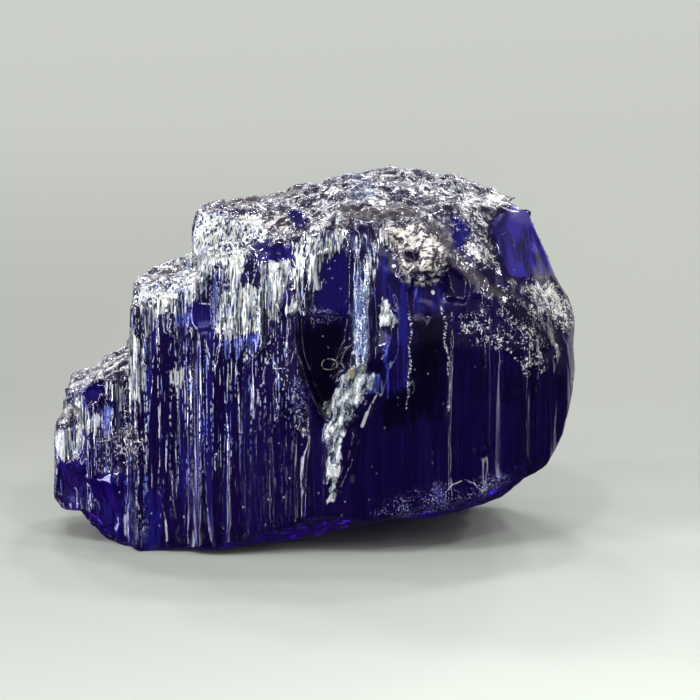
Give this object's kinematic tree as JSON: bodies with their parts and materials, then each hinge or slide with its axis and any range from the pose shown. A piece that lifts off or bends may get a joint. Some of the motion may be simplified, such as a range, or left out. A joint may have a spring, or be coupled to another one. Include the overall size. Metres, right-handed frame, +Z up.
{
  "type": "rough tanzanite crystal",
  "caption": "Rough violet-blue gem crystal: a striated prism that climbs in growth steps, with an etched crown and a broken base it rests on.",
  "frame": {"origin": "middle of the crystal's bounding box, at the height of the small flat spot it rests on", "axes": "+Z up along the striae, +X along the broad front towards the rounded end, +Y from the broad front to the back"},
  "size_m": [0.0172, 0.0098, 0.0118],
  "materials": {
    "tanzanite": "clear violet-blue, vitreous on the striated faces, etched and frosted on the crown and shoulder"
  },
  "bodies": {
    "root": {"tanzanite_crystal": "tanzanite"}
  },
  "joints": []
}
